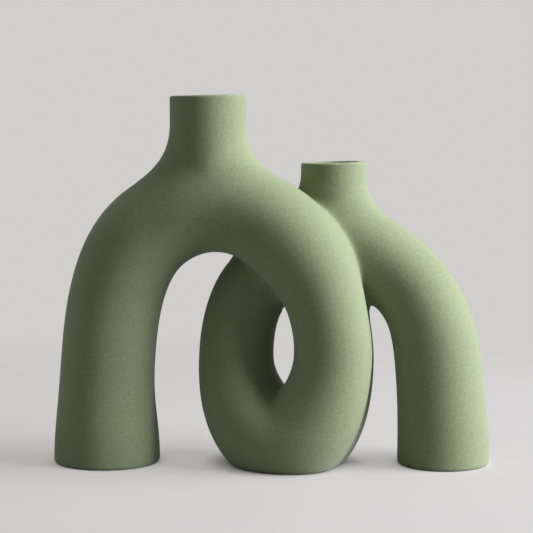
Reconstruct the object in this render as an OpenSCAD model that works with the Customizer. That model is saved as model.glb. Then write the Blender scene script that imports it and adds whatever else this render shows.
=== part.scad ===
// Conjoined donut vase: two hollow arch vessels whose stretched rings are luted together, one in front of the other.
// Millimetres, +Z up, origin on the floor under the middle of the vase, front towards -Y.

/* [Whole vase] */
// Wall of every casting
wall = 5; // [4:0.5:6]
// Thickness of the clay that closes the bottom of legs and rings
base_t = 8; // [6:0.5:10]
// Rounding of the feet where they meet the floor
foot_round = 3.5; // [2:0.5:5]
// Sides round each swept tube
tube_sides = 28; // [20:4:32]
// Steps between two stations of an arch
arch_steps = 4; // [3:1:5]

/* [Tall vessel] */
// Height of the tall rim
tall_h = 229.5; // [225:0.5:240]
// Neck axis, left of the middle
tall_neck_x = -38.3; // [-42:0.1:-34]
// Neck axis, in front of the middle
tall_neck_y = -7; // [-9:0.5:-5]
// Outer radius of the neck
tall_neck_r = 23.8; // [22:0.1:25]
// Height where the straight neck meets its collar
tall_collar_z = 206; // [202:0.5:210]
// Leg axis, left of the middle
tall_leg_x = -103.2; // [-106:0.1:-101]
// Outer radius of the foot
tall_foot_r = 33.3; // [31:0.1:35]
// Outer radius of the leg above its flare
tall_leg_r = 29.2; // [27:0.1:31]
// Height of the tube's centre line at the top of the arch
tall_arch_z = 160.5; // [156:0.5:164]

/* [Short vessel] */
// Height of the short rim
short_h = 188.2; // [186:0.1:194]
// Neck axis, right of the middle
short_neck_x = 39.8; // [37:0.1:42]
// Neck axis, behind the middle
short_neck_y = 14.5; // [12:0.5:17]
// Outer radius of the neck
short_neck_r = 20.2; // [19:0.1:22]
// Height where the straight neck meets its collar
short_collar_z = 176; // [174:0.5:180]
// Leg axis, right of the middle
short_leg_x = 108.6; // [106:0.1:111]
// Outer radius of the foot
short_foot_r = 28.7; // [27:0.1:30]
// Outer radius of the leg above its flare
short_leg_r = 27.3; // [26:0.1:28.5]
// Height of the tube's centre line at the top of the arch
short_arch_z = 141; // [138:0.5:144]

/* [Rings] */
// Height from a ring's middle down to its lowest centre line
ring_low_h = 54.5; // [52:0.5:56]
// Height from a ring's middle up to its highest centre line
ring_high_h = 48.5; // [46:0.5:50]
// Height of the ring's middle
ring_mid_z = 71; // [69:0.5:73]
// Drift of a ring towards the back or the front over one full turn
ring_drift = 40; // [34:1:44]
// Loss of tube radius over one full turn
ring_taper = 1.4; // [0:0.1:2]
// Middle of the tall vessel's ring, right of the middle
tall_ring_x = 9.3; // [8:0.1:11]
// Half width of the tall ring along its centre line
tall_ring_half_w = 30.6; // [29:0.1:32]
// Where the tall ring starts, in front of the middle
tall_ring_y = -20; // [-22:0.5:-18]
// Tube radius at the tall ring's sides
tall_ring_r = 24.1; // [22.5:0.1:25]
// Tube radius at the tall ring's base
tall_ring_base_r = 30; // [28:0.1:32]
// Middle of the short vessel's ring, right of the middle
short_ring_x = 10.6; // [9:0.1:12]
// Half width of the short ring along its centre line
short_ring_half_w = 32; // [31:0.1:33]
// Where the short ring starts, behind the middle
short_ring_y = 23; // [21:0.5:25]
// Tube radius at the short ring's sides
short_ring_r = 22.2; // [21:0.1:24]
// Tube radius at the short ring's base
short_ring_base_r = 28.6; // [27:0.1:30]

/* [Hidden] */
clay = [0.50, 0.56, 0.43];
// Ring angles run from the level of the ring's middle, downwards first
ring_end = 252;
ring_steps = 27;
// Degrees by which a ring's cavity runs on past both ends
ring_push = 5;
// How quickly the tube swells towards the ring's base
base_swell = 1.5;
// The cavity's tube has fewer sides than the outside
cavity_sides = 20;
collar_steps = 6;
collar_sides = 32;
// Radius of the sweep from each neck into its shoulder, and the angle that it turns
tall_collar_fillet = 26;
short_collar_fillet = 20;
collar_turn = 52;
// Length of the slope after the sweep, and depth of the skirt that sinks into the tube
tall_collar_slope = 26;
short_collar_slope = 13;
collar_skirt = 7;
// Share of the collar's sweep that also shows to the front and the back
collar_depth_share = 0.07;
floor_w = 400;
overshoot = 4;

// A station is [x, y, z, r]: a point of a tube's centre line and the tube's outer radius there.
// side is 1 for a ring that starts on the right, -1 for one that starts on the left.
function ring_station(x, y, half_w, side, side_r, base_r, angle) = [
    x + side * half_w * cos(angle),
    y + side * ring_drift * angle / 360,
    ring_mid_z - (sin(angle) > 0 ? ring_low_h : ring_high_h) * sin(angle),
    side_r - ring_taper * angle / 360 + (base_r - side_r) * pow(max(0, sin(angle)), base_swell)
];
function tall_ring_station(angle) =
    ring_station(tall_ring_x, tall_ring_y, tall_ring_half_w, 1, tall_ring_r, tall_ring_base_r, angle);
function short_ring_station(angle) =
    ring_station(short_ring_x, short_ring_y, short_ring_half_w, -1, short_ring_r, short_ring_base_r, angle);

tall_stations = [
    [tall_leg_x, 0, base_t, tall_foot_r],
    [tall_leg_x + 0.2, 0, 40, tall_leg_r + 1.4],
    [tall_leg_x + 1.6, 0, 75, tall_leg_r],
    [tall_leg_x + 6.7, 0, 107, tall_leg_r],
    [tall_leg_x + 24.1, -2, 143.2, tall_leg_r],
    [tall_neck_x, tall_neck_y, tall_arch_z, tall_leg_r - 1],
    [-5, -12.5, tall_arch_z - 6.5, 30],
    [17, -17, 137, 30.5],
    [30, -19, 117, 28.3],
    [37.4, tall_ring_y, 96, tall_ring_r + 1.1],
    tall_ring_station(0)
];
short_stations = [
    [short_leg_x, 0, base_t, short_foot_r],
    [short_leg_x - 1.3, 0, 40, short_leg_r + 0.3],
    [short_leg_x - 3.8, 0, 70, short_leg_r - 0.1],
    [short_leg_x - 9.8, 0, 93, short_leg_r - 2.1],
    [short_leg_x - 21.6, 3, 112, short_leg_r - 1.8],
    [62.5, 8.5, short_arch_z - 9, short_leg_r - 2],
    [short_neck_x, short_neck_y, short_arch_z, short_leg_r - 2],
    [16, 19.5, 134, 25],
    [-4, 21.5, 115, 23.5],
    [-17.5, 22.5, 94, short_ring_r + 0.2],
    short_ring_station(0)
];

// A curve through the stations, smooth across each of them
function between(a, b, c, d, t) =
    0.5 * (2 * b + (c - a) * t + (2 * a - 5 * b + 4 * c - d) * t * t + (3 * b - a - 3 * c + d) * t * t * t);
function curve(stations, before, after, steps) = let (all = concat([before], stations, [after])) [
    for (i = [1 : len(all) - 3], k = [0 : steps - 1])
        between(all[i - 1], all[i], all[i + 1], all[i + 2], k / steps),
    all[len(all) - 2]
];
function below_foot(station) = [station[0], 0, -base_t, station[3]];
// The ring's angles, pushed on by some degrees at both ends
function ring_turns(ends) = [for (i = [0 : ring_steps]) -ends + (ring_end + 2 * ends) * i / ring_steps];
tall_arch_path = curve(tall_stations, below_foot(tall_stations[0]), tall_ring_station(25), arch_steps);
short_arch_path = curve(short_stations, below_foot(short_stations[0]), short_ring_station(25), arch_steps);

// The rings' hoops are square to the line from the ring's middle, stretched along it so that the wall keeps its thickness.
function ring_hoop(station, x, half_w, side, angle, inset, sides) =
    let (out = unit([station[0] - x, 0, station[2] - ring_mid_z]),
         high = sin(angle) > 0 ? ring_low_h : ring_high_h,
         normal = unit([side * cos(angle) / half_w, 0, -sin(angle) / high]),
         stretch = 1 / (out * normal))
    [for (k = [0 : sides - 1])
        place(station) + (station[3] - inset)
            * (stretch * cos(360 * k / sides) * out + [0, side * sin(360 * k / sides), 0])];
function tall_ring_hoops(inset, sides, ends) = [
    for (angle = ring_turns(ends))
        ring_hoop(tall_ring_station(angle), tall_ring_x, tall_ring_half_w, 1, angle, inset, sides)
];
function short_ring_hoops(inset, sides, ends) = [
    for (angle = ring_turns(ends))
        ring_hoop(short_ring_station(angle), short_ring_x, short_ring_half_w, -1, angle, inset, sides)
];

function place(station) = [station[0], station[1], station[2]];
function unit(v) = v / norm(v);
function heading(path, i) = unit(place(path[min(i + 1, len(path) - 1)]) - place(path[max(i - 1, 0)]));
// A closed hoop of points round one station, square to the given heading
function hoop(station, ahead, inset, sides) =
    let (across = unit(cross(ahead, [0, 1, 0])), other = cross(across, ahead))
    [for (k = [0 : sides - 1])
        place(station) + (station[3] - inset) * (cos(360 * k / sides) * across + sin(360 * k / sides) * other)];
// An oval hoop, level, for the collars
function oval(x, y, z, half_w, half_d, sides) =
    [for (k = [0 : sides - 1]) [x + half_w * cos(360 * k / sides), y + half_d * sin(360 * k / sides), z]];
// A path pushed on at both ends, so that a cavity cuts right through the end faces
function pushed(path) = let (n = len(path) - 1)
    concat([path[0] + overshoot * shift(path[0], path[1])], path, [path[n] + overshoot * shift(path[n], path[n - 1])]);
function shift(end, inner) = let (out = unit(place(end) - place(inner))) [out[0], out[1], out[2], 0];

// The closed solid skinned over a list of hoops of equal count
module skin(hoops) {
    n = len(hoops[0]);
    last = len(hoops) - 1;
    polyhedron(
        [for (h = hoops, p = h) p],
        concat(
            [[for (k = [0 : n - 1]) n - 1 - k]],
            [for (i = [0 : last - 1], k = [0 : n - 1]) [i * n + k, i * n + (k + 1) % n, (i + 1) * n + k]],
            [for (i = [0 : last - 1], k = [0 : n - 1])
                [i * n + (k + 1) % n, (i + 1) * n + (k + 1) % n, (i + 1) * n + k]],
            [[for (k = [0 : n - 1]) last * n + k]]
        )
    );
}

// A tube along an arch's path, its end hoops level
module tube(path, inset, sides) {
    last = len(path) - 1;
    skin([for (i = [0 : last])
        hoop(path[i], i == 0 ? [0, 0, 1] : i == last ? [0, 0, -1] : heading(path, i), inset, sides)]);
}

// The sweep from a neck's straight wall down into the shoulder under it: an arc, a slope and a sunk skirt
module collar(x, y, top_z, r, fillet, slope) {
    arc = [for (i = [0 : collar_steps]) let (turn = collar_turn * i / collar_steps)
        [fillet - fillet * cos(turn), top_z - fillet * sin(turn)]];
    hem = arc[collar_steps] + slope * [sin(collar_turn), -cos(collar_turn)];
    profile = concat(arc, [hem, hem - [0, collar_skirt]]);
    hoops = [for (p = profile) oval(x, y, p[1], r + p[0], r + collar_depth_share * p[0], collar_sides)];
    for (i = [1 : len(hoops) - 1]) hull() skin([hoops[i], hoops[i - 1]]);
}

module above(z) {
    intersection() {
        children();
        translate([-floor_w / 2, -floor_w / 2, z]) cube(floor_w);
    }
}

module tall_arch_body() {
    tube(tall_arch_path, 0, tube_sides);
    collar(tall_neck_x, tall_neck_y, tall_collar_z, tall_neck_r, tall_collar_fillet, tall_collar_slope);
}

module tall_ring_body() {
    above(0) skin(tall_ring_hoops(0, tube_sides, 0));
}

module short_arch_body() {
    tube(short_arch_path, 0, tube_sides);
    collar(short_neck_x, short_neck_y, short_collar_z, short_neck_r, short_collar_fillet, short_collar_slope);
}

module short_ring_body() {
    above(0) skin(short_ring_hoops(0, tube_sides, 0));
}

// The hollow of an arch: the tube's inside and the shaft down from the mouth
module arch_cavity(path, x, y, mouth_r, shaft_low, shaft_high) {
    tube(pushed(path), wall, cavity_sides);
    translate([x, y, shaft_low]) cylinder(r = mouth_r, h = shaft_high - shaft_low + overshoot, $fn = collar_sides);
}

// A straight neck with a rounded lip, standing on its collar
module neck(x, y, low, high, r) {
    lip = wall / 2;
    translate([x, y, 0]) rotate_extrude($fn = 96) {
        translate([r - wall, low]) square([wall, high - lip - low]);
        translate([r - lip, high - lip]) circle(r = lip, $fn = 32);
    }
}

// A solid disc that closes a leg, its lower edge rounded
module foot(x, r) {
    translate([x, 0, 0]) rotate_extrude($fn = 96) {
        square([r - foot_round, base_t]);
        translate([0, foot_round]) square([r, base_t - foot_round]);
        translate([r - foot_round, foot_round]) circle(r = foot_round, $fn = 32);
    }
}

module tall_neck() {
    color(clay) neck(tall_neck_x, tall_neck_y, tall_collar_z, tall_h, tall_neck_r);
}

module tall_arch() {
    color(clay) difference() {
        tall_arch_body();
        arch_cavity(
            tall_arch_path,
            tall_neck_x, tall_neck_y, tall_neck_r - wall, tall_arch_z, tall_collar_z
        );
    }
}

module tall_ring() {
    color(clay) difference() {
        tall_ring_body();
        above(base_t) skin(tall_ring_hoops(wall, cavity_sides, ring_push));
        tall_arch_body();
    }
}

module tall_foot() {
    color(clay) foot(tall_leg_x, tall_foot_r);
}

module short_neck() {
    color(clay) neck(short_neck_x, short_neck_y, short_collar_z, short_h, short_neck_r);
}

module short_arch() {
    color(clay) difference() {
        short_arch_body();
        arch_cavity(
            short_arch_path,
            short_neck_x, short_neck_y, short_neck_r - wall, short_arch_z, short_collar_z
        );
        tall_arch_body();
        tall_ring_body();
    }
}

module short_ring() {
    color(clay) difference() {
        short_ring_body();
        above(base_t) skin(short_ring_hoops(wall, cavity_sides, ring_push));
        short_arch_body();
        tall_arch_body();
        tall_ring_body();
    }
}

module short_foot() {
    color(clay) foot(short_leg_x, short_foot_r);
}

tall_neck();
tall_arch();
tall_ring();
tall_foot();
short_neck();
short_arch();
short_ring();
short_foot();
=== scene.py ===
"""Conjoined donut vase: a tall and a short arch vessel in matte green clay, their looped arms fused to each other."""

import bpy
import numpy as np
from bpy.props import FloatProperty, FloatVectorProperty, PointerProperty
from bpy.types import Operator, Panel, PropertyGroup
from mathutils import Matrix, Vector


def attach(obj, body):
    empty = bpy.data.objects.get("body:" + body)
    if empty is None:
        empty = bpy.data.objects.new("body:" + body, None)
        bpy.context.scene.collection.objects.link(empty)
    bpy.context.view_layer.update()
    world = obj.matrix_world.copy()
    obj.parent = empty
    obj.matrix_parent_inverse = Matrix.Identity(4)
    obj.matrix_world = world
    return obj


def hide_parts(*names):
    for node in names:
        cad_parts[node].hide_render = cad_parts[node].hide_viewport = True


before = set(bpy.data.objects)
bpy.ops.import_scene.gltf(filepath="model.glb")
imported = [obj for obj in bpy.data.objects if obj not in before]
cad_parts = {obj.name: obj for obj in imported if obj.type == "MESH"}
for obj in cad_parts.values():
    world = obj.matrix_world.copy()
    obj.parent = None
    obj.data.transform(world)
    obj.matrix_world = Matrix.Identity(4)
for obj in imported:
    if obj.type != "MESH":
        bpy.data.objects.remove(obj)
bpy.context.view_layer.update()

bl_info = {
    "name": "Conjoined Donut Vase",
    "version": (1, 0, 0),
    "blender": (4, 5, 0),
    "location": "View3D > Sidebar > Vase",
    "description": "Two fused arch vessels of matte clay on a pale studio floor",
    "category": "Add Mesh",
}

MM = 0.001
ROUND = 144        # columns round every tube and neck
ARCH_ROWS, RING_ROWS, COLLAR_ROWS, NECK_ROWS = 240, 200, 44, 18
JOINED_ROWS = 12   # lowest rows of a neck, whose normals follow the joined surface
LOW, HIGH = -24 * MM, 11 * MM   # how far a wall may settle inwards and outwards
BURIED = 4 * MM    # depth inside a neighbour past which a wall is left out
ROOT = 40 * MM     # how far a leg's centre line runs on under the floor
BATCH = 2000       # points whose distances are worked out together

RING_OPEN, RING_END = 270, 294   # degrees at which a looped end starts to close, and ends
END_CLOSE, END_RISE = 0.55, 14 * MM   # loss of radius and rise of the centre line over that stretch
FLARE_FROM, FLARE_OVER = 169, 62      # degrees at which the tube's last growth starts, and over which it runs
OVERLAP = 8        # degrees by which an arch and its ring run on under each other
MERGE_FROM, MERGE_OVER = 6 * MM, 24 * MM   # start above the ring's middle and reach of the softer joints
WEB_FROM, WEB_OVER = 30 * MM, 20 * MM      # start to the right of the middle and reach of the web over the right gap

CLOUD, SAND, GRAIN = 22, 620, 1200    # waves to the metre of the clay's clouding, sand and grains
CONTACT_SHADE_REACH = 0.02     # reach in metres of the painted dark contact line: close to the clay the floor's glow is taken away, deepening its real shadow there
FADE = 0.32, 0.62  # distances from the middle between which the floor fades into the backdrop
LAMP_AIM = 0, 0, 0.11
LAMPS = {          # place, width, height, and whether the lamp has the daylight tint
    "key": ((1.50, -0.43, 0.54), 0.70, 0.80, True),
    "side": ((1.52, 0, 0.60), 0.50, 0.90, True),
    "upper": ((0.98, -0.06, 1.37), 0.90, 0.90, True),
    "overhead": ((0.14, 0, 1.70), 0.80, 0.80, False),
    "fill": ((-1.55, -0.20, 0.45), 1.40, 1.40, False),
    "rim": ((0.75, 1.22, 0.86), 0.80, 0.80, False),
}


def length(name, description, millimetres):
    """A length property whose default is given in millimetres."""
    return FloatProperty(name=name, description=description, default=millimetres * MM, unit="LENGTH", precision=4)


def portion(name, description, default):
    """A plain share of something."""
    return FloatProperty(name=name, description=description, default=default, subtype="FACTOR")


def watts(name, description, default):
    """The power of a lamp."""
    return FloatProperty(name=name, description=description, default=default, unit="POWER")


def paint(name, description, default):
    """A colour."""
    return FloatVectorProperty(name=name, description=description, default=default, subtype="COLOR")


def spot(name, description, default):
    """A place in the scene."""
    return FloatVectorProperty(name=name, description=description, default=default, subtype="TRANSLATION")


class VaseTallSizes(PropertyGroup):
    """Sizes of the tall vessel."""

    height: length("Rim height", "Height of the tall rim above the floor", 230.2)
    neck_x: length("Neck X", "Neck axis, left of the middle", -37.8)
    neck_y: length("Neck Y", "Neck axis, in front of the middle", -7)
    neck_r: length("Neck radius", "Outer radius of the straight neck", 23.6)
    collar_z: length("Collar height", "Height where the neck piece stands on its shoulder", 206)
    leg_x: length("Leg X", "Leg axis, left of the middle", -102.8)
    foot_r: length("Foot radius", "Outer radius at the floor", 33.3)
    leg_r: length("Leg radius", "Outer radius above the flare", 29.2)
    arch_z: length("Arch height", "Centre line at the top of the arch", 160.5)
    sweep_left: length("Left sweep", "Reach of the soft sweep from the neck into the left shoulder", 27)
    sweep_right: length("Right sweep", "Reach of the soft sweep from the neck into the arm", 24)


class VaseShortSizes(PropertyGroup):
    """Sizes of the short vessel."""

    height: length("Rim height", "Height of the short rim above the floor", 188.2)
    neck_x: length("Neck X", "Neck axis, right of the middle", 39.6)
    neck_y: length("Neck Y", "Neck axis, behind the middle", 14.5)
    neck_r: length("Neck radius", "Outer radius of the straight neck", 20.4)
    collar_z: length("Collar height", "Height where the neck piece stands on its shoulder", 176)
    leg_x: length("Leg X", "Leg axis, right of the middle", 108.9)
    foot_r: length("Foot radius", "Outer radius at the floor", 28.7)
    leg_r: length("Leg radius", "Outer radius above the flare", 27.3)
    arch_z: length("Arch height", "Centre line at the top of the arch", 141)
    sweep_left: length("Left sweep", "Reach of the soft sweep from the neck into the arm", 18)
    sweep_right: length("Right sweep", "Reach of the soft sweep from the neck into the right shoulder", 18)


class VaseRingSizes(PropertyGroup):
    """Sizes of the two looped ends."""

    mid_z: length("Middle", "Height of the ring's middle", 66)
    taper: length("Taper", "Loss of tube radius over one full turn", 1.4)
    tall_x: length("Front X", "Middle of the front ring", 9.2)
    tall_low: length("Front drop", "From the front ring's middle down to its lowest centre line", 48.7)
    tall_high: length("Front rise", "From the front ring's middle up to its highest centre line", 50.2)
    tall_bow: length("Front bow", "How far the front ring's base stands out to the front", 5)
    tall_half: length("Front half width", "Half width of the front ring's centre line", 30.2)
    tall_y: length("Front start", "Where the front ring starts in depth", -23)
    tall_drift: length("Front drift", "Shift of the front ring in depth over one full turn", 32)
    tall_recess: length("Front recess", "How far the front ring's far side lies deeper", 8)
    tall_r: length("Front radius", "Tube radius at the front ring's sides", 24.1)
    tall_base: length("Front base radius", "Tube radius at the front ring's base", 30)
    tall_tuck: portion("Front tuck", "How far the front ring's end turns in, 1 for a true oval", 0.736)
    tall_flare: length("Front flare", "Growth of the tube at the front ring's end", -0.6)
    tall_lean: length("Front lean", "Shift of the front ring's right foot to the right", -2.2)
    short_x: length("Rear X", "Middle of the rear ring", 11.35)
    short_low: length("Rear drop", "From the rear ring's middle down to its lowest centre line", 51.6)
    short_high: length("Rear rise", "From the rear ring's middle up to its highest centre line", 53.5)
    short_bow: length("Rear bow", "How far the rear ring's base stands out to the front", 15)
    short_half: length("Rear half width", "Half width of the rear ring's centre line", 32.6)
    short_y: length("Rear start", "Where the rear ring starts in depth", 23)
    short_drift: length("Rear drift", "Shift of the rear ring in depth over one full turn", 32)
    short_recess: length("Rear recess", "How far the rear ring's far side lies nearer", 0)
    short_r: length("Rear radius", "Tube radius at the rear ring's sides", 22.2)
    short_base: length("Rear base radius", "Tube radius at the rear ring's base", 31.5)
    short_tuck: portion("Rear tuck", "How far the rear ring's end turns in, 1 for a true oval", 0.7)
    short_flare: length("Rear flare", "Growth of the tube at the rear ring's end", -1.4)
    short_lean: length("Rear lean", "Shift of the rear ring's right foot to the right", -1.7)


class VaseClay(PropertyGroup):
    """Walls, joints and finish of the clay."""

    wall: length("Wall", "Thickness of the walls", 5)
    base: length("Base", "Clay under legs and rings", 8)
    crease: length("Crease", "Softness of creases within one vessel", 0.8)
    seam: length("Seam", "Softness of the slip joint between the vessels", 2.0)
    depth_sweep: length("Depth sweep", "Reach of the necks' sweeps to the front and the back", 7)
    merge: length("Merge", "Softness of the joint where a ring's end runs into its arm", 1.8)
    web: length("Web", "Softness of the rear ring's joint over the right gap", 3.9)
    edge: length("Floor edge", "Rounding where the clay meets the floor", 2.2)
    lip: length("Lip", "Rounding of the rims", 1.5)
    tilt: portion("Rim tilt", "Rise of the hand-cut rims to the right, per unit of width", 0.024)
    colour: paint("Clay", "Colour of the clay", (0.233, 0.292, 0.151))
    speck: paint("Specks", "Colour of the pale grains", (0.302, 0.364, 0.216))
    roughness: portion("Roughness", "Mean roughness of the surface", 0.74)


class VaseStudio(PropertyGroup):
    """Camera, lamps and surroundings."""

    eye: spot("Camera", "Place of the camera", (0.0386, -1.1053, 0.23))
    aim: spot("Aim", "Point that the camera looks at", (-0.002, 0, 0.1235))
    lens: FloatProperty(name="Lens", description="Focal length", default=120.2, unit="CAMERA")
    floor: paint("Floor", "Colour of the floor", (0.74, 0.735, 0.715))
    backdrop: paint("Backdrop", "Colour of the backdrop", (0.63, 0.62, 0.605))
    glow: paint("Floor glow", "Paleness that the camera sees in the floor", (0.60, 0.59, 0.575))
    bounce: portion("Bounce", "Share of the floor's paleness that lights the vase", 0.41)
    lift: portion("Lift", "Share of the floor's own paleness in its shadows", 0.68)
    key: watts("Key", "Power of the low lamp to the right of the camera", 25)
    side: watts("Side", "Power of the lamp on the right", 13.5)
    upper: watts("Upper", "Power of the lamp high on the right", 17)
    overhead: watts("Overhead", "Power of the overhead lamp", 1.6)
    fill: watts("Fill", "Power of the wide fill lamp on the left", 3.7)
    rim: watts("Rim", "Power of the lamp behind on the right", 2.5)
    daylight: paint("Daylight", "Tint of the three lamps on the right", (1, 0.985, 1.07))
    around: FloatProperty(name="Surround", description="Strength of the light from all round", default=0.105)


class VaseSettings(PropertyGroup):
    """All values of the vase."""

    tall: PointerProperty(type=VaseTallSizes)
    short: PointerProperty(type=VaseShortSizes)
    rings: PointerProperty(type=VaseRingSizes)
    clay: PointerProperty(type=VaseClay)
    studio: PointerProperty(type=VaseStudio)


def unit(v):
    """Vectors along the last axis, scaled to length 1."""
    return v / np.linalg.norm(v, axis=-1, keepdims=True)


def smooth_step(t):
    """The ramp 3t^2 - 2t^3 from 0 to 1."""
    t = np.clip(t, 0, 1)
    return t * t * (3 - 2 * t)


def spline(stations, first, last, steps):
    """A smooth curve through stations of x, y, z, radius: cubic spans over chords h, whose slopes m let the curvature
    run on through every station: h[i] m[i-1] + 2 (h[i-1] + h[i]) m[i] + h[i-1] m[i+1]
    = 3 (h[i] d[i-1] + h[i-1] d[i]), with d the slopes of the chords. The slopes at both ends are given."""
    h = np.linalg.norm(np.diff(stations[:, :3], axis=0), axis=1)
    d = np.diff(stations, axis=0) / h[:, None]
    n = len(stations)
    matrix, right = np.eye(n), np.vstack([first, 3 * (h[1:, None] * d[:-1] + h[:-1, None] * d[1:]), last])
    k = np.arange(1, n - 1)
    matrix[k, k - 1], matrix[k, k], matrix[k, k + 1] = h[1:], 2 * (h[:-1] + h[1:]), h[:-1]
    m = np.linalg.solve(matrix, right)[:, None, :]
    t = (np.arange(steps) / steps)[None, :, None]
    h, d, start = h[:, None, None], d[:, None, :], stations[:-1, None, :]
    spans = start + h * t * (m[:-1] + t * (3 * d - 2 * m[:-1] - m[1:]) + t * t * (m[:-1] + m[1:] - 2 * d))
    return np.vstack([spans.reshape(-1, 4), stations[-1]])


def arc_length(points):
    """Distance along a polyline, from its first point."""
    return np.concatenate([[0], np.cumsum(np.linalg.norm(np.diff(points[:, :3], axis=0), axis=1))])


def even(rows, count):
    """The same line, as count rows evenly spaced along it."""
    s = arc_length(rows)
    t = np.linspace(0, s[-1], count)
    return np.stack([np.interp(t, s, rows[:, k]) for k in range(rows.shape[1])], axis=1)


def ring_rows(rings, which, degrees):
    """Centre line of a looped end, one turn of an oval spiral: x = X + side W cos a,
    y = Y - B sin a + side (D a/360 + R (1 - cos a)/2) and z = Z - H sin a, with a tube radius that swells as sin^1.5
    towards the base and closes like a dome at its hidden end. The right foot leans by L sin 2a, and past half a turn
    the end turns in by its own share T of the oval: W (T (1 + cos a) - 1)."""
    side = 1 if which == "tall" else -1
    x, half, y, drift, recess, bow, r, base, tuck, flare, lean, low, high = (getattr(rings, f"{which}_{k}") for k in (
        "x", "half", "y", "drift", "recess", "bow", "r", "base", "tuck", "flare", "lean", "low", "high"))
    turn = np.asarray(degrees, float)
    a = np.radians(turn)
    down = np.maximum(0, np.sin(a))
    end = smooth_step((turn - RING_OPEN) / (RING_END - RING_OPEN))
    radius = r - rings.taper * turn / 360 + (base - r) * down ** 1.5
    radius += flare * smooth_step((turn - FLARE_FROM) / FLARE_OVER)
    radius *= 1 - END_CLOSE * end
    across = np.where(turn < 180, np.cos(a), tuck * (1 + np.cos(a)) - 1)
    across += side * lean / half * np.maximum(0, side * np.sin(2 * a)) * (turn < 180)
    z = rings.mid_z - np.where(np.sin(a) > 0, low, high) * np.sin(a) + END_RISE * end
    deep = y + side * (drift * turn / 360 + recess * (1 - np.cos(a)) / 2) - bow * down
    return np.stack([x + side * half * across, deep, z, radius], axis=1)


def tall_stations(settings):
    """Centre line of the tall vessel: up the left leg, over the shoulder and down the front arm to its ring."""
    t, ring = settings.tall, ring_rows(settings.rings, "tall", [0])[0]
    leg = [t.leg_x, 0, 0, t.leg_r]
    anchors = [[t.leg_x, 0, settings.clay.base, t.foot_r], leg, leg, leg, leg, [t.neck_x, t.neck_y, t.arch_z, t.leg_r],
               [0, 0, t.arch_z, 0], [0] * 4, [0] * 4, [0, ring[1], 0, ring[3]], ring]
    offsets = [[0, 0, 0, 0], [0, 0, 40, 1.2], [2, 0, 75, 0.2], [7.1, 0, 106.8, 0.2], [24.7, -2, 142.2, 0.2],
               [0, 0, 0.4, -1.3], [-4.9, -12.5, -6.3, 27.7], [17.3, -17, 137, 27.6], [30.2, -19, 117, 25.6],
               [37.2, 0, 94, -0.4], [0, 0, 0, 0]]
    return np.array(anchors) + MM * np.array(offsets)


def short_stations(settings):
    """Centre line of the short vessel: up the right leg, over the shoulder and down the rear arm to its ring."""
    t, ring = settings.short, ring_rows(settings.rings, "short", [0])[0]
    leg = [t.leg_x, 0, 0, t.leg_r]
    anchors = [[t.leg_x, 0, settings.clay.base, t.foot_r], leg, leg, leg, leg, [0, 0, t.arch_z, t.leg_r],
               [t.neck_x, t.neck_y, t.arch_z, t.leg_r], [0] * 4, [0] * 4, [0, 0, 0, ring[3]], ring]
    offsets = [[0, 0, 0, 0], [-1.5, 0, 40, 0.2], [-4.4, 0, 70, -0.5], [-10.2, 0, 93, -1.8], [-21.5, 3, 112.4, -2.7],
               [62.7, 8.5, -8.8, -2.8], [0, 0, 0, -2], [16, 19.5, 134, 25], [-4.6, 21.5, 116.4, 22.7],
               [-17.2, 22.5, 92.5, -0.3], [0, 0, 0, 0]]
    return np.array(anchors) + MM * np.array(offsets)


STATIONS = {"tall": tall_stations, "short": short_stations}


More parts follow.
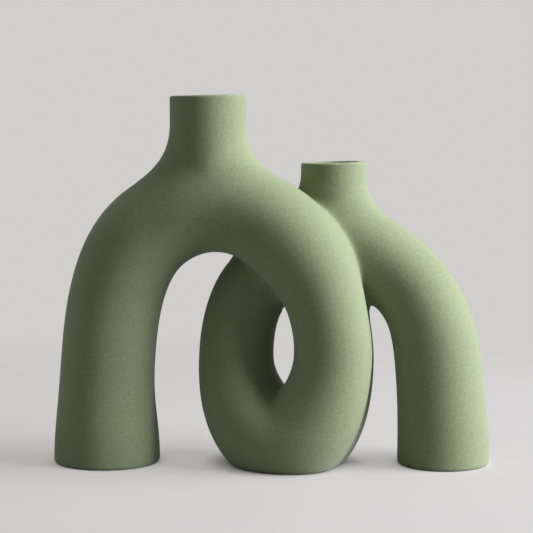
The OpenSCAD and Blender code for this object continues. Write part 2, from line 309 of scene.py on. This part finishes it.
class Clay:
    """The fired surface as one field of distances: positive outside, 0 on the clay, negative inside."""

    def __init__(self, settings):
        self.settings, self.clay = settings, settings.clay
        self.lines = {}
        for which, stations in STATIONS.items():
            rows = stations(settings)
            flare = 0.6 * (rows[1, 3] - rows[0, 3]) / (rows[1, 2] - rows[0, 2])
            turn = np.diff(ring_rows(settings.rings, which, [0, 0.5]), axis=0)[0]
            line = spline(rows, [0, 0, 1, flare], turn / np.linalg.norm(turn[:3]), 16)
            self.lines[f"{which}_arch"] = line
            root = np.repeat(rows[:1], 24, axis=0)
            root[:, 2] = np.linspace(-ROOT, self.clay.base, len(root))
            self.lines[f"{which}_arch_root"] = np.vstack([root[:-1], line])
            self.lines[f"{which}_ring"] = ring_rows(settings.rings, which, np.linspace(0, RING_END, 121))

    def tube(self, p, line):
        """Distance to the tube round a centre line, as a soft minimum over the line's points:
        -c ln sum(ds sqrt((1 - q.k) / (2 pi c |q|)) exp(-(|q| - r) / c)), where q runs from the line to p, k is the
        line's curvature and c the crease softness. A plain tube comes out exact, and folds are rounded by c."""
        soft, reach = self.clay.crease, 40 * MM
        s = arc_length(line)
        share = np.gradient(s)
        share[[0, -1]] /= 2
        bend = np.gradient(np.gradient(line[:, :3], s, axis=0), s, axis=0)
        value, slope = np.full(len(p), reach), np.zeros((len(p), 3))
        for first in range(0, len(p), BATCH):
            part = slice(first, first + BATCH)
            q = p[part]
            outside = np.maximum(q.min(axis=0) - line[:, :3], line[:, :3] - q.max(axis=0))
            away = np.linalg.norm(np.maximum(outside, 0), axis=1)
            close = away < line[:, 3] + reach
            if not close.any():
                slope[part] = unit(q - line[away.argmin(), :3])
                continue
            centre, radius, curve = line[close, :3], line[close, 3], bend[close]
            far = (q * q).sum(axis=1)[:, None] + (centre * centre).sum(axis=1) - 2 * q @ centre.T
            far = np.sqrt(np.maximum(far, (2 * MM) ** 2))
            gap = far - radius
            near = gap.min(axis=1, keepdims=True)
            turn = np.maximum(1 - q @ curve.T + (centre * curve).sum(axis=1), 0.05)
            weight = share[close] * np.sqrt(turn / (2 * np.pi * soft * far)) * np.exp((near - gap) / soft)
            total = weight.sum(axis=1)
            value[part] = near[:, 0] - soft * np.log(total)
            pull = weight / far
            slope[part] = (pull.sum(axis=1)[:, None] * q - pull @ centre) / total[:, None]
        return value, slope

    def neck(self, p, which):
        """Distance to a neck's upright wall above its arch, and the reach of its sweep in that direction."""
        t = getattr(self.settings, which)
        dx, dy = p[:, 0] - t.neck_x, p[:, 1] - t.neck_y
        across = np.maximum(np.hypot(dx, dy), 1e-6)
        out = np.stack([dx / across, dy / across, np.zeros_like(dx)], axis=1)
        wall, low = across - t.neck_r, t.arch_z - p[:, 2]
        value = np.maximum(wall, low)
        slope = np.where((wall > low)[:, None], out, [0, 0, -1])
        side = np.where(dx < 0, t.sweep_left, t.sweep_right) - self.clay.depth_sweep
        reach = self.clay.depth_sweep + side * out[:, 0] ** 2
        turn = np.stack([-dy, dx, np.zeros_like(dx)], axis=1) / across[:, None] ** 2
        reach_slope = (-2 * side * out[:, 0] * out[:, 1])[:, None] * turn
        return value, slope, reach, reach_slope

    @staticmethod
    def union(fields, soft):
        """Soft minimum -c ln sum(exp(-v / c)) of several fields, with its slope. The softness c may vary slowly."""
        values = np.stack([v for v, g in fields])
        low = values.min(axis=0)
        weight = np.exp((low - values) / soft)
        total = weight.sum(axis=0)
        slope = sum(w[:, None] * g for w, (v, g) in zip(weight, fields)) / total[:, None]
        return low - soft * np.log(total), slope

    @staticmethod
    def sweep(a, b, reach, reach_slope):
        """Round join min(a, b) - k h^2 / 4 of two fields, with h = max(0, 1 - |a - b| / k) and reach k."""
        (va, ga), (vb, gb) = a, b
        h = np.clip(1 - np.abs(va - vb) / reach, 0, 1)
        share = np.where(va < vb, 1 - h / 2, h / 2)[:, None]
        by_reach = -(h * h / 4 + h * np.abs(va - vb) / (2 * reach))
        slope = share * ga + (1 - share) * gb + by_reach[:, None] * reach_slope
        return np.minimum(va, vb) - reach * h * h / 4, slope

    def parts(self, p, own=None):
        """Distance to each part on its own, and to the whole vase with its rounded floor edge. For one part's own wall
        the others count as no nearer than that part, so that past a seam the wall runs on under them without a jump."""
        fields, necks = {}, {}
        for which in STATIONS:
            fields[f"{which}_arch"] = self.tube(p, self.lines[f"{which}_arch_root"])
            fields[f"{which}_ring"] = self.tube(p, self.lines[f"{which}_ring"])
            found = self.neck(p, which)
            fields[f"{which}_neck"], necks[which] = found[:2], found[2:]
        found = {name: value for name, (value, slope) in fields.items()}
        if own:
            mine, turn = fields[own]
            fields = {name: (np.maximum(value, mine), np.where((value < mine)[:, None], turn, slope))
                      for name, (value, slope) in fields.items()}
        high = smooth_step((p[:, 2] - self.settings.rings.mid_z - MERGE_FROM) / MERGE_OVER)
        soft = self.clay.crease + (self.clay.merge - self.clay.crease) * high
        web = soft + (self.clay.web - self.clay.merge) * high * smooth_step((p[:, 0] - WEB_FROM) / WEB_OVER)
        vessels = [self.sweep(self.union([fields[f"{which}_arch"], fields[f"{which}_ring"]], c),
                              fields[f"{which}_neck"], *necks[which]) for which, c in (("tall", soft), ("short", web))]
        whole, slope = self.union(vessels, self.clay.seam)
        edge = self.clay.edge
        h = np.clip(1 - np.abs(whole + p[:, 2]) / edge, 0, 1)
        share = np.where(whole > -p[:, 2], 1 - h / 2, h / 2)[:, None]
        found["all"] = np.maximum(whole, -p[:, 2]) + edge * h * h / 4
        found["slope"] = share * slope + (1 - share) * np.array([0, 0, -1])
        return found

    def settle(self, start, along, own):
        """Moves one part's points along their directions until they lie on its wall of the vase. Returns places,
        normals and the distances at the end."""
        shape = start.shape
        start, along = start.reshape(-1, 3), unit(along.reshape(-1, 3))
        shift, active = np.zeros(len(start)), np.arange(len(start))
        for _ in range(12):
            p = start[active] + along[active] * shift[active, None]
            f = self.parts(p, own)
            lean = np.maximum((f["slope"] * along[active]).sum(axis=1), 0.3)
            moved = np.clip(shift[active] - f["all"] / lean, LOW, HIGH)
            change = np.abs(moved - shift[active])
            shift[active] = moved
            active = active[change > 0.002 * MM]
            if not len(active):
                break
        places = start + along * shift[:, None]
        f = self.parts(places)
        return places.reshape(shape), unit(f["slope"]).reshape(shape), f


def hoops(rows, ahead):
    """Directions out of a tube, one hoop of ROUND for each row, square to the heading: cos t A + sin t B."""
    t = 2 * np.pi * np.arange(ROUND) / ROUND
    across = unit(np.cross(ahead, [0, 1, 0]))
    other = np.cross(across, ahead)
    return np.cos(t)[None, :, None] * across[:, None] + np.sin(t)[None, :, None] * other[:, None]


def ring_hoops(rings, which, degrees, rows):
    """Directions out of a looped end, in planes through the ring's middle: stretched by 1 / cos of the angle between
    the line from the middle and the tube's own normal, so that the tube keeps its width."""
    side = 1 if which == "tall" else -1
    a = np.radians(degrees)
    drop = np.where(np.sin(a) > 0, getattr(rings, f"{which}_low"), getattr(rings, f"{which}_high"))
    zero = np.zeros_like(a)
    out = unit(np.stack([rows[:, 0] - getattr(rings, f"{which}_x"), zero, rows[:, 2] - rings.mid_z], axis=1))
    normal = unit(np.stack([side * np.cos(a) / getattr(rings, f"{which}_half"), zero, -np.sin(a) / drop], axis=1))
    stretch = 1 / (out * normal).sum(axis=1)
    t = 2 * np.pi * np.arange(ROUND) / ROUND
    deep = np.array([0, side, 0])
    return (stretch[:, None, None] * np.cos(t)[None, :, None] * out[:, None]
            + np.sin(t)[None, :, None] * deep)


def shell(outer, inner, keep):
    """A wall between an outer and an inner grid of rows by columns that close round: both skins of every kept cell, and
    a rim wherever a kept cell has no kept neighbour. Returns points and faces."""
    rows, columns = outer.shape[:2]
    o = np.arange(rows * columns).reshape(rows, columns)
    o = np.concatenate([o, o[:, :1]], axis=1)
    i = o + rows * columns
    a, b, c, d = o[:-1, :-1], o[:-1, 1:], o[1:, 1:], o[1:, :-1]
    skins = [np.stack([a, b, c, d], axis=-1)[keep], np.stack([a, d, c, b], axis=-1)[keep] + rows * columns]
    gap = np.zeros((1, columns), bool)
    above, below = np.concatenate([gap, keep]), np.concatenate([keep, gap])
    first, last = below & ~above, above & ~below
    rims = [np.stack([o[:, 1:], o[:, :-1], i[:, :-1], i[:, 1:]], axis=-1)[first],
            np.stack([o[:, :-1], o[:, 1:], i[:, 1:], i[:, :-1]], axis=-1)[last]]
    left = np.roll(keep, 1, axis=1)
    starts, ends = keep & ~left, left & ~keep
    rims += [np.stack([o[:-1, :-1], o[1:, :-1], i[1:, :-1], i[:-1, :-1]], axis=-1)[starts],
             np.stack([o[1:, :-1], o[:-1, :-1], i[:-1, :-1], i[1:, :-1]], axis=-1)[ends]]
    points = np.concatenate([outer.reshape(-1, 3), inner.reshape(-1, 3)])
    return points, outward(points, [np.concatenate(skins + rims)])[0]


def lathe(profile, centre):
    """A solid turned about an upright axis from a profile of radius and height that starts and ends on the axis.
    Returns the turned rows without their poles, and the two poles."""
    t = 2 * np.pi * np.arange(ROUND) / ROUND
    ring = np.stack([-np.cos(t), np.sin(t)], axis=1)
    body = profile[1:-1]
    heights = np.repeat(body[:, 1:, None], ROUND, axis=1)
    rows = np.concatenate([centre + body[:, :1, None] * ring[None], heights], axis=2)
    poles = np.array([[*centre, profile[0, 1]], [*centre, profile[-1, 1]]])
    return rows, poles


def solid(rows, poles):
    """Faces of a turned solid: cells between its rows, and a fan round each pole."""
    n, columns = rows.shape[:2]
    o = np.arange(n * columns).reshape(n, columns)
    o = np.concatenate([o, o[:, :1]], axis=1)
    cells = np.stack([o[:-1, :-1], o[:-1, 1:], o[1:, 1:], o[1:, :-1]], axis=-1).reshape(-1, 4)
    low, high = n * columns, n * columns + 1
    fans = np.concatenate([np.stack([o[0, 1:], o[0, :-1], np.full(columns, low)], axis=1),
                           np.stack([o[-1, :-1], o[-1, 1:], np.full(columns, high)], axis=1)])
    points = np.concatenate([rows.reshape(-1, 3), poles])
    return points, outward(points, [cells, fans])


def outward(points, groups):
    """Groups of faces of a closed mesh, turned round if they point inwards: its volume is the sum of a.(b x c) / 6."""
    fans = [points[g[:, [0, k, k + 1]]] for g in groups for k in range(1, g.shape[1] - 1)]
    volume = sum(np.einsum("nk,nk->", f[:, 0], np.cross(f[:, 1], f[:, 2])) for f in fans)
    return [g[:, ::-1] for g in groups] if volume < 0 else groups


def add_piece(name, points, groups, normals, material):
    """Makes one piece of the vase: unused points go, and the given normals (NaN where the mesh's own are right) are
    kept on the surface."""
    used = np.unique(np.concatenate([g.ravel() for g in groups]))
    renumber = np.zeros(len(points), int)
    renumber[used] = np.arange(len(used))
    mesh = bpy.data.meshes.new(name)
    mesh.from_pydata(points[used].tolist(), [], [f for g in groups for f in renumber[g].tolist()])
    mesh.shade_smooth()
    own = np.empty(len(used) * 3, np.float32)
    mesh.vertex_normals.foreach_get("vector", own)
    given = normals[used]
    mesh.normals_split_custom_set_from_vertices(np.where(np.isnan(given), own.reshape(-1, 3), given).tolist())
    mesh.materials.append(material)
    piece = bpy.data.objects.new(name, mesh)
    bpy.context.collection.objects.link(piece)
    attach(piece, "root")
    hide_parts(name)
    return piece


class Wire:
    """A socket in a material, with Python's arithmetic on it."""

    def __init__(self, tree, socket):
        self.tree, self.socket = tree, socket

    def node(self, kind, settings=None, **sockets):
        """Adds a node with its settings and its inputs, and returns its first output."""
        made = self.tree.nodes.new(kind)
        for key, value in (settings or {}).items():
            setattr(made, key, value)
        for key, value in sockets.items():
            slot = made.inputs[int(key[1:])] if key[1:].isdigit() else made.inputs[key.replace("_", " ")]
            if isinstance(value, Wire):
                self.tree.links.new(value.socket, slot)
            else:
                slot.default_value = value
        return Wire(self.tree, made.outputs[0])

    def math(self, operation, a, b=0.0):
        """A Math node on two numbers or wires."""
        return self.node("ShaderNodeMath", {"operation": operation}, i0=a, i1=b)

    def __add__(self, other):
        return self.math("ADD", self, other)

    def __radd__(self, other):
        return self.math("ADD", other, self)

    def __sub__(self, other):
        return self.math("SUBTRACT", self, other)

    def __mul__(self, other):
        return self.math("MULTIPLY", self, other)

    def ramp(self, low, high):
        """0 below low, 1 above high and straight between."""
        return self.node("ShaderNodeMapRange", None, Value=self, From_Min=low, From_Max=high)


def new_material(name):
    """A node material, its shader, its output and a wire on its Object coordinates."""
    material = bpy.data.materials.new(name)
    material.use_nodes = True
    tree = material.node_tree
    shader = tree.nodes["Principled BSDF"]
    place = tree.nodes.new("ShaderNodeTexCoord")
    return material, tree, shader, Wire(tree, place.outputs["Object"])


def noise(place, per_metre, detail=2.0, roughness=0.5):
    """Noise between 0 and 1 with that many waves to the metre."""
    return place.node("ShaderNodeTexNoise", {"noise_dimensions": "3D"}, Vector=place, Scale=per_metre, Detail=detail,
                      Roughness=roughness)


def clay_material(clay):
    """Matte sage clay: a sandy tooth in the surface, pale and dark grains, and slow clouding."""
    found = bpy.data.materials.get("sage_clay")
    if found:
        return found
    material, tree, shader, place = new_material("sage_clay")
    cloud = noise(place, CLOUD, 3)
    grain = noise(place, GRAIN, 2, 0.6)
    sand = noise(place, SAND, 3, 0.6)
    pale = (sand * 0.55 + grain * 0.45).ramp(0.43, 0.61)
    tint = place.node("ShaderNodeMix", {"data_type": "RGBA"}, i0=pale * 0.75, i6=(*clay.colour, 1),
                      i7=(*clay.speck, 1))
    tint = Wire(tree, tint.socket.node.outputs[2])
    shade = place.node("ShaderNodeMix", {"data_type": "RGBA", "blend_type": "MULTIPLY"}, i0=cloud.ramp(0.3, 0.7) * 0.12,
                       i6=tint, i7=(0.55, 0.62, 0.5, 1))
    shade = Wire(tree, shade.socket.node.outputs[2])
    tree.links.new(shade.socket, shader.inputs["Base Color"])
    rough = clay.roughness + (sand - 0.5) * 0.16
    tree.links.new(rough.socket, shader.inputs["Roughness"])
    shader.inputs["Specular IOR Level"].default_value = 0.2
    shader.inputs["Sheen Weight"].default_value = 0.25
    tooth = place.node("ShaderNodeBump", None, Height=sand * 0.6 + grain * 0.4, Strength=0.6, Distance=0.00025)
    tree.links.new(tooth.socket, shader.inputs["Normal"])
    return material


def seen_directly(tree):
    """1 for what the camera sees itself, in a mirror or through glass, and 0 for the light thrown on a surface."""
    path = tree.nodes.new("ShaderNodeLightPath").outputs
    seen = Wire(tree, path["Is Camera Ray"])
    for ray in ("Is Glossy Ray", "Is Transmission Ray"):
        seen = seen.math("MAXIMUM", seen, Wire(tree, path[ray]))
    return seen


def floor_material(studio):
    """Pale matte floor: its own paleness shows in part under the shadows, except in a painted dark line where the clay
    stands on it, where an occlusion test takes that paleness away and so deepens the real shadow there. It throws less
    light back up than it shows, and its rim fades out."""
    material, tree, shader, place = new_material("pale_floor")
    direct = seen_directly(tree)
    thrown = [studio.bounce * c for c in studio.floor]
    tint = place.node("ShaderNodeMix", {"data_type": "RGBA"}, i0=direct * noise(place, 3, 2).ramp(-6, 1),
                      i6=(*thrown, 1), i7=(*studio.floor, 1))
    tree.links.new(tint.socket.node.outputs[2], shader.inputs["Base Color"])
    shader.inputs["Roughness"].default_value = 1
    shader.inputs["Specular IOR Level"].default_value = 0
    glow = place.node("ShaderNodeEmission", None, Color=(*studio.glow, 1))
    # painted contact shade: an occlusion test takes the floor's glow away close to the clay, so the dark line there is
    # partly real shadow and partly painted
    near = place.node("ShaderNodeAmbientOcclusion", {"samples": 8}, Distance=CONTACT_SHADE_REACH)
    glow_outside_painted_contact_shade = Wire(tree, near.socket.node.outputs["AO"]).ramp(0.1, 0.75)
    seen = place.node("ShaderNodeMixShader", None, i0=direct * studio.lift * glow_outside_painted_contact_shade,
                      i1=Wire(tree, shader.outputs["BSDF"]), i2=glow)
    away = place.node("ShaderNodeVectorMath", {"operation": "LENGTH"}, i0=place)
    away = Wire(tree, away.socket.node.outputs["Value"])
    clear = place.node("ShaderNodeBsdfTransparent")
    faded = place.node("ShaderNodeMixShader", None, i0=away.ramp(*FADE), i1=seen, i2=clear)
    tree.links.new(faded.socket, tree.nodes["Material Output"].inputs["Surface"])
    return material


def settings_and_clay():
    """The scene's values and the field of distances made from them; the field is made once and then kept."""
    settings = bpy.context.scene.vase
    if settings_and_clay.kept is None:
        settings_and_clay.kept = Clay(settings)
    return settings, settings_and_clay.kept


settings_and_clay.kept = None


def facing(start, target):
    """The turn that points an object's -Z axis from start to target and keeps it upright."""
    return (Vector(target) - Vector(start)).to_track_quat("-Z", "Y").to_euler()


class VASE_OT_stage(Operator):
    """Set up the camera, the lamps, the floor and the backdrop"""

    bl_idname = "vase.stage"
    bl_label = "Stage"

    def execute(self, context):
        """Camera first, then the soft lamps: three on the right, weaker ones above, behind and on the left. The pale
        surround and the floor come last."""
        studio, scene = context.scene.vase.studio, context.scene
        camera = bpy.data.cameras.new("camera")
        camera.lens, camera.sensor_width = studio.lens, 36
        camera.clip_end = 20
        view = bpy.data.objects.new("camera", camera)
        view.location = studio.eye
        view.rotation_euler = facing(studio.eye, studio.aim)
        scene.collection.objects.link(view)
        scene.camera = view
        for name, (place, wide, high, cool) in LAMPS.items():
            lamp = bpy.data.lights.new(name, "AREA")
            lamp.shape, lamp.size, lamp.size_y, lamp.energy = "RECTANGLE", wide, high, getattr(studio, name)
            if cool:
                lamp.color = studio.daylight
            stand = bpy.data.objects.new(name, lamp)
            stand.location = place
            stand.rotation_euler = facing(place, LAMP_AIM)
            scene.collection.objects.link(stand)
        scene.world = self.surround(studio)
        scene.view_settings.view_transform = "Standard"
        self.floor(studio)
        return {"FINISHED"}

    @staticmethod
    def surround(studio):
        """Dim light from all round, which is seen as a pale backdrop, also in a mirror and through glass."""
        world = bpy.data.worlds.new("studio")
        world.use_nodes = True
        tree = world.node_tree
        sky = tree.nodes["Background"]
        sky.inputs["Color"].default_value = (*studio.backdrop, 1)
        strength = seen_directly(tree) * (1 - studio.around) + studio.around
        tree.links.new(strength.socket, sky.inputs["Strength"])
        return world

    @staticmethod
    def floor(studio):
        """A round floor, r cos t by r sin t, that fades into the backdrop at its rim."""
        r = np.concatenate([np.linspace(0.02, 0.3, 8), np.linspace(0.36, 1.0, 9)])
        t = 2 * np.pi * np.arange(96) / 96
        points = np.stack([r[:, None] * np.cos(t), r[:, None] * np.sin(t), np.zeros((len(r), len(t)))], axis=-1)
        o = np.arange(points.size // 3).reshape(points.shape[:2])
        o = np.concatenate([o, o[:, :1]], axis=1)
        cells = np.stack([o[:-1, :-1], o[1:, :-1], o[1:, 1:], o[:-1, 1:]], axis=-1).reshape(-1, 4)
        mesh = bpy.data.meshes.new("floor")
        mesh.from_pydata(points.reshape(-1, 3).tolist(), [], [*cells.tolist(), o[0, :-1].tolist()])
        mesh.materials.append(floor_material(studio))
        floor = bpy.data.objects.new("floor", mesh)
        bpy.context.scene.collection.objects.link(floor)
        return floor


class VASE_OT_necks(Operator):
    """Make the two straight necks with their rounded lips"""

    bl_idname = "vase.necks"
    bl_label = "Necks"

    def execute(self, context):
        """Each neck is a wall turned about its axis: outer and inner rows at the same heights, then a lip of two
        quarter rounds. The rim is cut at a slight slant, z + tilt (x - X), that fades out towards the collar."""
        settings, field = settings_and_clay()
        clay = settings.clay
        t = 2 * np.pi * np.arange(ROUND) / ROUND
        ring = np.stack([-np.cos(t), np.sin(t)], axis=1)
        turn = np.linspace(0, np.pi / 2, 8)[1:]
        for which in STATIONS:
            v = getattr(settings, which)
            top = v.height - clay.lip
            z = np.concatenate([np.linspace(v.collar_z, top, NECK_ROWS), top + clay.lip * np.sin(turn)])
            cut = np.concatenate([np.zeros(NECK_ROWS), clay.lip * (1 - np.cos(turn))])
            walls = []
            for r in (v.neck_r - cut, v.neck_r - clay.wall + cut):
                xy = [v.neck_x, v.neck_y] + r[:, None, None] * ring
                walls.append(np.concatenate([xy, np.broadcast_to(z[:, None, None], (len(z), ROUND, 1))], axis=2))
            outer, inner = walls
            along = np.broadcast_to(np.concatenate([ring, np.zeros((ROUND, 1))], axis=1), outer.shape)
            settled, normals, f = field.settle(outer[:NECK_ROWS], along[:NECK_ROWS], f"{which}_neck")
            outer[:NECK_ROWS] = settled
            fade = smooth_step((z - v.collar_z) / (v.height - v.collar_z))[:, None]
            for wall in walls:
                wall[..., 2] += clay.tilt * (wall[..., 0] - v.neck_x) * fade
            points, faces = shell(outer, inner, np.ones((len(z) - 1, ROUND), bool))
            given = np.full(points.shape, np.nan)
            given[:JOINED_ROWS * ROUND] = normals[:JOINED_ROWS].reshape(-1, 3)
            add_piece(f"{which}_neck", points, [faces], given, clay_material(clay))
        return {"FINISHED"}


class VASE_OT_arches(Operator):
    """Make the two arches: leg, shoulder with the neck's collar, and arm"""

    bl_idname = "vase.arches"
    bl_label = "Arches"

    def execute(self, context):
        """Each arch is a tube carried along its centre line, opened under the neck, and a collar round that opening."""
        settings, field = settings_and_clay()
        clay = settings.clay
        for which in STATIONS:
            v = getattr(settings, which)
            under = ring_rows(settings.rings, which, np.arange(1, OVERLAP))
            rows = even(np.vstack([field.lines[f"{which}_arch"], under]), ARCH_ROWS)
            ahead = unit(np.gradient(rows[:, :3], axis=0))
            level = smooth_step(np.linspace(-5, 1, len(rows)))[:, None]
            ahead = unit((1 - level) * ahead + level * np.array([0, 0, -1]))
            ahead[0] = 0, 0, 1
            out = hoops(rows, ahead)
            wall = rows[:, None, :3] + out * rows[:, None, 3:]
            outer, normals, f = field.settle(wall, out, f"{which}_arch")
            inner = rows[:, None, :3] + out * (rows[:, None, 3:] - clay.wall)
            mouth = (f[f"{which}_neck"] < -0.5 * clay.wall) & (outer.reshape(-1, 3)[:, 2] > v.arch_z)
            hidden = mouth | (self.others(f, which) < -BURIED)
            for skin in (outer, inner):
                self.clear_mouth(skin, mouth.reshape(outer.shape[:2]), [v.neck_x, v.neck_y], v.neck_r - 0.5 * clay.wall)
            tube = shell(outer, inner, ~self.cells(hidden.reshape(outer.shape[:2])))
            collar, collar_normals = self.collar(field, which)
            points = np.concatenate([tube[0], collar[0]])
            faces = np.concatenate([tube[1], collar[1] + len(tube[0])])
            given = np.full(points.shape, np.nan)
            given[:outer.size // 3] = normals.reshape(-1, 3)
            first = len(tube[0])
            given[first:first + len(collar_normals)] = collar_normals
            add_piece(f"{which}_arch", points, [faces], given, clay_material(clay))
        return {"FINISHED"}

    @staticmethod
    def clear_mouth(skin, mouth, centre, radius):
        """Moves the points inside a mouth out to its round edge: q max(1, radius / |q|) about the upright axis."""
        q = skin[..., :2] - centre
        far = np.maximum(np.linalg.norm(q, axis=-1), 0.1 * MM)
        skin[..., :2] = centre + q * np.where(mouth, np.maximum(1, radius / far), 1)[..., None]

    @staticmethod
    def others(f, which):
        """Distance to the vessel that this one gives way to: the tall vessel gives way to none."""
        if which == "tall":
            return np.full(len(f["all"]), np.inf)
        return np.minimum(np.minimum(f["tall_arch"], f["tall_ring"]), f["tall_neck"])

    @staticmethod
    def cells(hidden):
        """Cells whose four corners are all hidden, columns closing round."""
        wide = hidden & np.roll(hidden, -1, axis=1)
        return wide[:-1] & wide[1:]

    def collar(self, field, which):
        """The neck's wall carried down into the shoulder: upright lines from the collar's height to just under the
        tube's own wall, found for each line by halving, then settled outwards onto the sweep."""
        settings, clay = field.settings, field.clay
        v = getattr(settings, which)
        t = 2 * np.pi * np.arange(ROUND) / ROUND
        ring = np.stack([-np.cos(t), np.sin(t)], axis=1)
        line = field.lines[f"{which}_arch_root"]
        foot = np.empty((2, ROUND))
        foot[0], foot[1] = v.arch_z, v.collar_z
        xy = [v.neck_x, v.neck_y] + v.neck_r * ring
        for _ in range(16):
            middle = foot.mean(axis=0)
            deep = field.tube(np.column_stack([xy, middle]), line)[0] < -1.2 * clay.wall
            foot[0], foot[1] = np.where(deep, middle, foot[0]), np.where(deep, foot[1], middle)
        down = np.linspace(0, 1, COLLAR_ROWS)[:, None]
        z = v.collar_z + down * (foot.mean(axis=0) - v.collar_z)
        walls = [np.dstack([np.broadcast_to(x, z.shape) for x in ([v.neck_x, v.neck_y] + r * ring).T] + [z])
                 for r in (v.neck_r, v.neck_r - clay.wall)]
        along = np.broadcast_to(np.column_stack([ring, np.zeros(ROUND)]), walls[0].shape)
        outer, normals, f = field.settle(walls[0], along, f"{which}_neck")
        hidden = (self.others(f, which) < -BURIED).reshape(outer.shape[:2])
        return shell(outer, walls[1], ~self.cells(hidden)), normals.reshape(-1, 3)


class VASE_OT_rings(Operator):
    """Make the two looped ends with their flat bases"""

    bl_idname = "vase.rings"
    bl_label = "Rings"

    def execute(self, context):
        """Each ring is a tube carried round an oval spiral. Its wall is left out where it runs inside its
        neighbours."""
        settings, field = settings_and_clay()
        clay = settings.clay
        gives_way = {"tall": ["tall_arch"], "short": ["tall_arch", "tall_ring", "short_arch"]}
        for which in STATIONS:
            degrees = np.linspace(-OVERLAP, RING_END, RING_ROWS)
            rows = ring_rows(settings.rings, which, degrees)
            out = ring_hoops(settings.rings, which, degrees, rows)
            wall = rows[:, None, :3] + out * rows[:, None, 3:]
            outer, normals, f = field.settle(wall, out, f"{which}_ring")
            inner = rows[:, None, :3] + out * (rows[:, None, 3:] - clay.wall)
            inner[..., 2] = np.maximum(inner[..., 2], clay.base)
            hidden = np.min([f[k] for k in gives_way[which]], axis=0) < -BURIED
            keep = ~VASE_OT_arches.cells(hidden.reshape(outer.shape[:2]))
            points, faces = shell(outer, inner, keep)
            given = np.full(points.shape, np.nan)
            given[:outer.size // 3] = normals.reshape(-1, 3)
            add_piece(f"{which}_ring", points, [faces], given, clay_material(clay))
        return {"FINISHED"}


class VASE_OT_feet(Operator):
    """Make the two solid feet"""

    bl_idname = "vase.feet"
    bl_label = "Feet"

    def execute(self, context):
        """Each foot is a disc turned about the leg's axis: flat underside, rounded edge, short side, flat top."""
        settings, field = settings_and_clay()
        clay = settings.clay
        round_r = clay.edge
        turn = np.linspace(0, np.pi / 2, 9)
        for which in STATIONS:
            v = getattr(settings, which)
            r = v.foot_r
            under = np.column_stack([np.linspace(0, r - round_r, 14)[:-1], np.zeros(13)])
            bend = np.column_stack([r - round_r + round_r * np.sin(turn), round_r - round_r * np.cos(turn)])
            side = np.column_stack([np.full(5, r), np.linspace(round_r, clay.base, 6)[1:]])
            top = np.column_stack([np.linspace(r, 0, 8)[1:], np.full(7, clay.base)])
            rows, poles = lathe(np.concatenate([under, bend, side, top]), np.array([v.leg_x, 0]))
            first, last = len(under) - 1 + 2, len(under) - 1 + len(bend) + len(side)
            edge = rows[first:last]
            along = edge - [v.leg_x, 0, 0]
            along[..., 2] = 0
            slant = np.concatenate([-np.cos(turn[2:]), np.zeros(len(side))])[:, None]
            along = unit(along) * np.sqrt(1 - slant ** 2)[..., None]
            along[..., 2] = slant
            settled, normals, f = field.settle(edge, along, f"{which}_arch")
            rows[first:last] = settled
            points, faces = solid(rows, poles)
            given = np.full(points.shape, np.nan)
            given[first * ROUND:last * ROUND] = normals.reshape(-1, 3)
            add_piece(f"{which}_foot", points, faces, given, clay_material(clay))
        return {"FINISHED"}


class VASE_PT_panel(Panel):
    """Lists the steps that build the vase"""

    bl_idname = "VASE_PT_panel"
    bl_label = "Conjoined Donut Vase"
    bl_space_type = "VIEW_3D"
    bl_region_type = "UI"
    bl_category = "Vase"

    def draw(self, context):
        """One button for each step."""
        for step in STEPS:
            self.layout.operator(step.bl_idname)


STEPS = (VASE_OT_stage, VASE_OT_necks, VASE_OT_arches, VASE_OT_rings, VASE_OT_feet)
CLASSES = (VaseTallSizes, VaseShortSizes, VaseRingSizes, VaseClay, VaseStudio, VaseSettings, *STEPS, VASE_PT_panel)


def register():
    """Registers the classes and hangs the values on the scene."""
    for made in CLASSES:
        bpy.utils.register_class(made)
    bpy.types.Scene.vase = PointerProperty(type=VaseSettings)


def unregister():
    """Takes the values and the classes away again."""
    del bpy.types.Scene.vase
    for made in reversed(CLASSES):
        bpy.utils.unregister_class(made)


def main():
    """Builds the vase step by step."""
    register()
    bpy.ops.vase.stage()
    bpy.ops.vase.necks()
    bpy.ops.vase.arches()
    bpy.ops.vase.rings()
    bpy.ops.vase.feet()
    bpy.context.view_layer.update()


if __name__ == "__main__":
    main()
